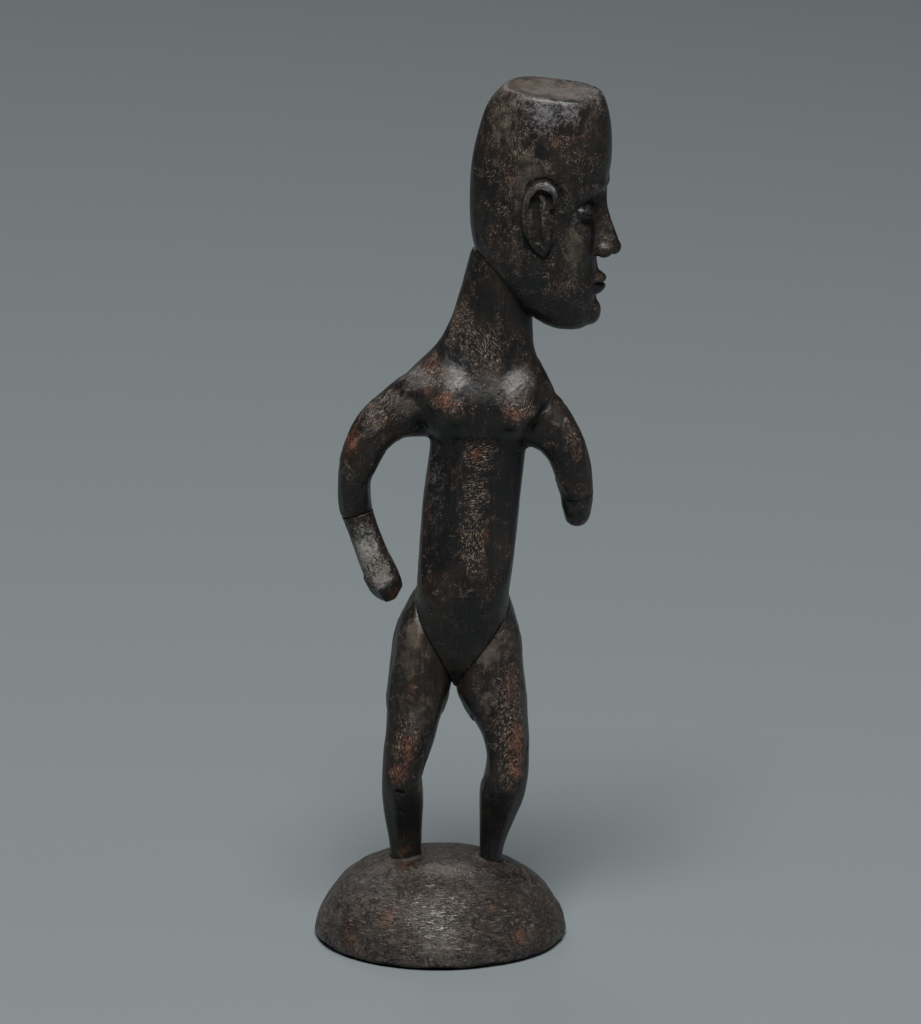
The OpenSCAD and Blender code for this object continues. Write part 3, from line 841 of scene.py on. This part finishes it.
def face_forms():
    """Eyes, nose, lips and ears as closed shapes, in mm."""
    forms = [ball((0, -55, NOSE_Z + 6), (5.4, 5, 5)), ball((0, -40.5, 402.5), (10, 6, 7))]
    for side in (-1, 1):
        forms += [
            ball((side * EYE_X, -37.4, EYE_Z), (9.5, 7, 6)),
            ball((side * 7, -50, NOSE_Z + 4.5), (4.2, 5.5, 4.4)),
            tube([(side * 32, EAR_Y + 1, EAR_Z - 22), (side * 33, EAR_Y + 7, EAR_Z - 14),
                  (side * 34.5, EAR_Y + 9.5, EAR_Z), (side * 35, EAR_Y + 6, EAR_Z + 15),
                  (side * 35, EAR_Y - 1, EAR_Z + 20.5), (side * 35, EAR_Y - 8, EAR_Z + 17),
                  (side * 34.5, EAR_Y - 9, EAR_Z + 9), (side * 34, EAR_Y - 5, EAR_Z + 4)],
                 [0.8, 2.2, 2.6, 3, 3.2, 2.9, 2.4, 1]),
            tube([(side * 33, EAR_Y - 1, EAR_Z + 9), (side * 35.2, EAR_Y - 4, EAR_Z + 2),
                  (side * 35, EAR_Y - 5.5, EAR_Z - 8), (side * 33.5, EAR_Y - 4, EAR_Z - 17),
                  (side * 31.5, EAR_Y - 1, EAR_Z - 23)], [1, 2.4, 2.6, 3.4, 1.4]),
        ]
    for height, bow, thick in ((MOUTH_Z + 2.8, 0.9, 3.0), (MOUTH_Z - 3.2, -0.3, 3.4)):
        forms.append(tube([(-13, -41, MOUTH_Z), (-7, -44.6, height - 0.3), (-2.2, -46, height + bow),
                           (2.2, -46, height + bow), (7, -44.6, height - 0.3), (13, -41, MOUTH_Z)],
                          [0.7, thick - 0.4, thick, thick, thick - 0.4, 0.7]))
    return forms


def face_lines():
    """V cuts in the face and ears: path, width and depth in mm, and how the depth along an axis counts."""
    front, sideways = (1, 0.15, 1), (0.15, 1, 1)
    lines = [([(-13, -42, MOUTH_Z), (-6, -46, MOUTH_Z - 0.3), (0, -47.5, MOUTH_Z - 0.6),
               (6, -46, MOUTH_Z - 0.3), (13, -42, MOUTH_Z)], 2.6, 1.5, front),
             ([(0, -48, NOSE_Z - 2), (0, -48, MOUTH_Z + 7)], 4, 0.7, front)]
    for side in (-1, 1):
        x = side * EYE_X
        lines += [
            ([(x - 9, -42, EYE_Z - 1), (x, -44.4, EYE_Z - 2.6), (x + 9, -42, EYE_Z - 1)], 2.4, 1.5, front),
            ([(x - 9, -42, EYE_Z + 2), (x, -43, EYE_Z + 6.6), (x + 9, -42, EYE_Z + 2)], 2.8, 1.0, front),
            ([(x - 7, -43, EYE_Z - 5), (x, -43, EYE_Z - 7.4), (x + 7, -41, EYE_Z - 5)], 3.4, 0.6, front),
            ([(side * 10.5, -46.5, NOSE_Z + 7), (side * 12.5, -45, NOSE_Z - 3),
              (side * 17, -43, MOUTH_Z + 1)], 4.5, 0.6, front),
            ([(side * 35, EAR_Y + 3, EAR_Z + 14), (side * 36, EAR_Y + 2.2, EAR_Z),
              (side * 35, EAR_Y + 1, EAR_Z - 16)], 5.5, 3.2, sideways),
            ([(side * 36, EAR_Y + 10, 480), (side * 36, EAR_Y + 9, 455), (side * 34, EAR_Y + 10, 428),
              (side * 32, EAR_Y + 9, 412)], 5, 1.1, sideways),
            ([(side * 36, EAR_Y + 18, 494), (side * 36, EAR_Y + 17, 470), (side * 35, EAR_Y + 18, 444)],
             4.5, 0.8, sideways),
        ]
    return lines


def model_head(p):
    """Moves the points of the head, in mm in its own frame: sockets, cheeks, muzzle, temples and top."""
    x, y, z = p.T
    front = smoothstep(-22, -34, y)
    push = 3.8 * bell(np.abs(x), EYE_X, 10) * bell(z, EYE_Z + 1, 8.5)
    push += 1.6 * bell(np.abs(x), 27, 7) * bell(z, BROW_Z + 2, 14)
    push -= 2.0 * bell(np.abs(x), 20, 7) * bell(z, NOSE_Z + 15, 8)
    push -= 2.0 * bell(x, 0, 15) * bell(z, MOUTH_Z, 11)
    push += 1.8 * bell(np.abs(x), 19, 6) * bell(z, MOUTH_Z + 6, 12)
    push += 1.3 * bell(x, 0, 10) * bell(z, MOUTH_Z - 9.5, 3)
    arch = BROW_Z + 1 - 4 * ((np.abs(x) - 13) / 13) ** 2
    push -= 2.0 * bell(z, arch, 4) * smoothstep(29, 20, np.abs(x)) * smoothstep(0, 7, np.abs(x))
    p = p.copy()
    p[:, 1] += push * front
    p[:, 1] -= 1.3 * bell(z, 514, 16) * smoothstep(0, 14, y)
    middle = np.array([0, -17])
    reach = np.linalg.norm((p[:, :2] - middle) / (26, 31), axis=1)
    p[:, 2] -= 1.0 * smoothstep(1.0, 0.6, reach) * (z > 530)
    return p


rough_head = blank("rough_head", "head", voxel=HEAD_VOXEL)
free = soften(rough_head, "head", 14)
p = to_head(get_points(rough_head))
filled(rough_head, 90, smoothstep(-24, -34, p[:, 1]) * free)
set_points(rough_head, from_head(model_head(to_head(get_points(rough_head)))))
head = blank("head_carving", "head", [(from_head(form[0]), form[1]) for form in face_forms()], HEAD_VOXEL,
             rough_head.data)
bpy.data.objects.remove(rough_head)
free = soften(head, "head", 3)
filled(head, 6, free)
p = to_head(get_points(head))
cut = np.max([scored(p, *line) for line in face_lines()], axis=0)
set_points(head, get_points(head) - get_normals(head) * (cut * MM)[:, None])

# Two shallow edges down the back of the skull
place, _ = level_places(p, np.ones(len(p), dtype=bool), 3)
back_edge = 0.6 * np.maximum(0, 1 - np.abs(np.abs(place[:, 0]) - 0.55) / 0.03) * (p[:, 1] > 0)
back_edge = back_edge * smoothstep(530, 520, p[:, 2]) * free
set_points(head, get_points(head) - get_normals(head) * (back_edge * MM)[:, None])

# The tools cut everywhere but on the face and the ears
from_ear = np.hypot(p[:, 1] - EAR_Y, 0.8 * (p[:, 2] - EAR_Z))
plain = free * smoothstep(-34, -24, p[:, 1]) * smoothstep(22, 16, from_ear)
tooled(head, plain, 51, (15, 0.35), (10, 30, 4.2, 0.8), lumps=(0.6, 0.25), stretch=(1, 1, 0.25))
finish_surface(head, "head", "head_wood", head_wood,
               wear=[(0.57, 0.06, 0.78, (2, 6, 7), 0.9), (0.7, 0.08, 0.8, (7, 6, 2.5), 0.8),
                     (0.27, 0.11, 0.64, (4, 7, 8), 0.8), (0.16, 0.17, 0.42, (3, 6, 5), 0.85),
                     (0.15, 0.18, 0.36, (3, 6, 5), 0.9), (0.38, 0.1, 0.8, (4, 6, 7), 0.55),
                     (0.6, 0.13, 0.2, (12, 9, 10), 0.4), (0.4, 0.9, 0.5, (10, 8, 20), 0.5),
                     (0.9, 0.5, 0.2, 8, 0.5)],
               # painted highlights on the temple, the ear's top and the crown, in the waxy grey
               wax=[(0.49, 0.12, 0.9, (12, 12, 19), 0.92), (0.64, 0.12, 0.9, (10, 10, 14), 0.75),
                    (0.49, 0.0, 0.6, (12, 9, 6), 1), (0.46, 0.0, 0.5, (5, 8, 14), 0.8),
                    (0.65, 0.4, 0.97, (36, 30, 14), 0.85)],
               # ochre dust, with painted sheen on the top and the lit side of the head
               ochre=[(0.5, 0.5, 0.97, (48, 44, 12), 1), (0.7, 0.12, 0.35, (12, 10, 28), 0.85),
                      (0.85, 0.35, 0.5, (16, 24, 30), 0.5), (0.23, 0.2, 0.85, (16, 20, 26), 0.75),
                      (0.4, 0.08, 0.62, (18, 16, 30), 0.85), (0.3, 0.15, 0.35, (14, 16, 24), 0.6),
                      (0.4, 0.06, 0.6, (10, 9, 24), 0.4)],
               rasp_up=[(0.3, 0.15, 0.7, (16, 24, 60), 0.55), (0.5, 0.1, 0.65, (14, 24, 60), 0.4),
                        (0.15, 0.2, 0.3, (9, 14, 30), 0.5), (0.6, 0.12, 0.2, (20, 16, 24), 0.45),
                        (0.5, 0.95, 0.5, (30, 20, 50), 0.6)],
               calm=[(0.05, 0.5, 0.5, (14, 30, 50), 0.8), (0.95, 0.4, 0.8, (12, 30, 20), 0.6)])


# ---- hands ----

def bevelled(piece, free, cuts):
    """Knife cuts across the end of a hand. Each is (direction, depth in mm)."""
    points = get_points(piece)
    for direction, depth in cuts:
        n = np.array(direction, dtype=float)
        n /= np.linalg.norm(n)
        height = points @ n
        over = np.maximum(0, height - height.max() + depth * MM) * free
        points = points - over[:, None] * n
    set_points(piece, points)


right_hand = blank("right_hand_carving", "right_hand", voxel=HAND_VOXEL)
free = soften(right_hand, "right_hand", 10, 0.45)
bevelled(right_hand, free, [((0.35, -0.9, -0.45), 3.5), ((-0.5, -0.5, -0.75), 2.5), ((0.9, 0, -0.45), 1.5)])
tooled(right_hand, free, 61, (10, 0.5), (4, 7, 2.4, 0.2), lumps=(0.3, 0.2))
finish_surface(right_hand, "right_hand", "worn_wood", hand_wood,
               wear=[(0.85, 0.1, 0.12, (8, 10, 8), 0.95), (0.5, 0.2, 0.3, (9, 8, 9), 0.35),
                     (0.3, 0.9, 0.6, 9, 0.5)],
               # painted sheen on the hand, in the waxy grey
               wax=[(0.4, 0.2, 0.6, (14, 12, 22), 1), (0.65, 0.05, 0.3, (10, 9, 14), 1)],
               rasp_fall=[(0.55, 0.1, 0.4, (14, 12, 20), 0.7)])

left_hand = blank("left_hand_carving", "left_hand", voxel=HAND_VOXEL)
free = soften(left_hand, "left_hand", 10, 0.45)
bevelled(left_hand, free, [((-0.8, -0.6, -0.3), 1.5)])
tooled(left_hand, free, 71, (10, 0.4), (4, 7, 2.4, 0.15), lumps=(0.3, 0.2))
finish_surface(left_hand, "left_hand", "dark_patina_wood", body_wood,
               # painted sheen on the hand, in the waxy grey
               wax=[(0.5, 0.2, 0.85, (9, 8, 3), 0.7)], rasp_fall=[(0.5, 0.1, 0.5, 12, 0.5)])

for node_name, cad in nodes.items():
    if node_name.endswith("_peg"):
        cad.data.materials.clear()
        cad.data.materials.append(peg_wood)


# ---- stage, light and camera ----

def make_stage():
    size = 12.0
    floor = mesh_object("floor", [(-size, -size, 0), (size, -size, 0), (size, size, 0), (-size, size, 0)],
                        [(0, 1, 2, 3)])
    s = Shader("pale_floor")
    s.surface.inputs["Base Color"].default_value = (0.178, 0.203, 0.212, 1)
    s.surface.inputs["Roughness"].default_value = 0.8
    s.surface.inputs["Specular IOR Level"].default_value = 0.2
    floor.data.materials.append(s.material)


def softbox(name, place, aim, size, watts, colour=(1, 1, 1)):
    light = bpy.data.lights.new(name, "AREA")
    light.shape, light.size, light.energy, light.color = "SQUARE", size, watts, colour
    lamp = bpy.data.objects.new(name, light)
    bpy.context.scene.collection.objects.link(lamp)
    lamp.location = place
    lamp.rotation_euler = (Vector(aim) - Vector(place)).to_track_quat("-Z", "Y").to_euler()


def make_camera():
    camera = bpy.data.objects.new("camera", bpy.data.cameras.new("camera"))
    bpy.context.scene.collection.objects.link(camera)
    camera.data.lens, camera.data.sensor_width = 187.1, 36
    camera.data.clip_start, camera.data.clip_end = 0.05, 60
    pitch, aim, distance = math.radians(13.5), Vector((0.013, 0, 0.2732)), 3.3
    camera.location = aim + distance * Vector((0, -math.cos(pitch), math.sin(pitch)))
    camera.rotation_euler = (math.pi / 2 - pitch, 0, 0)
    bpy.context.scene.camera = camera


world = bpy.data.worlds.new("studio")
world.use_nodes = True
world.node_tree.nodes["Background"].inputs["Color"].default_value = (0.75, 0.8, 0.85, 1)
world.node_tree.nodes["Background"].inputs["Strength"].default_value = 0.05
bpy.context.scene.world = world
bpy.context.scene.view_settings.view_transform = "Standard"
make_stage()
figure = (0.02, 0, 0.3)
softbox("key", (0.0, -3.1, 6.4), figure, 3.0, 680, (1, 0.985, 0.96))
softbox("side", (3.0, -1.0, 2.0), figure, 1.6, 6)
softbox("back", (-1.5, 5.0, 4.0), (0, 2.0, 0), 2.5, 60)
make_camera()
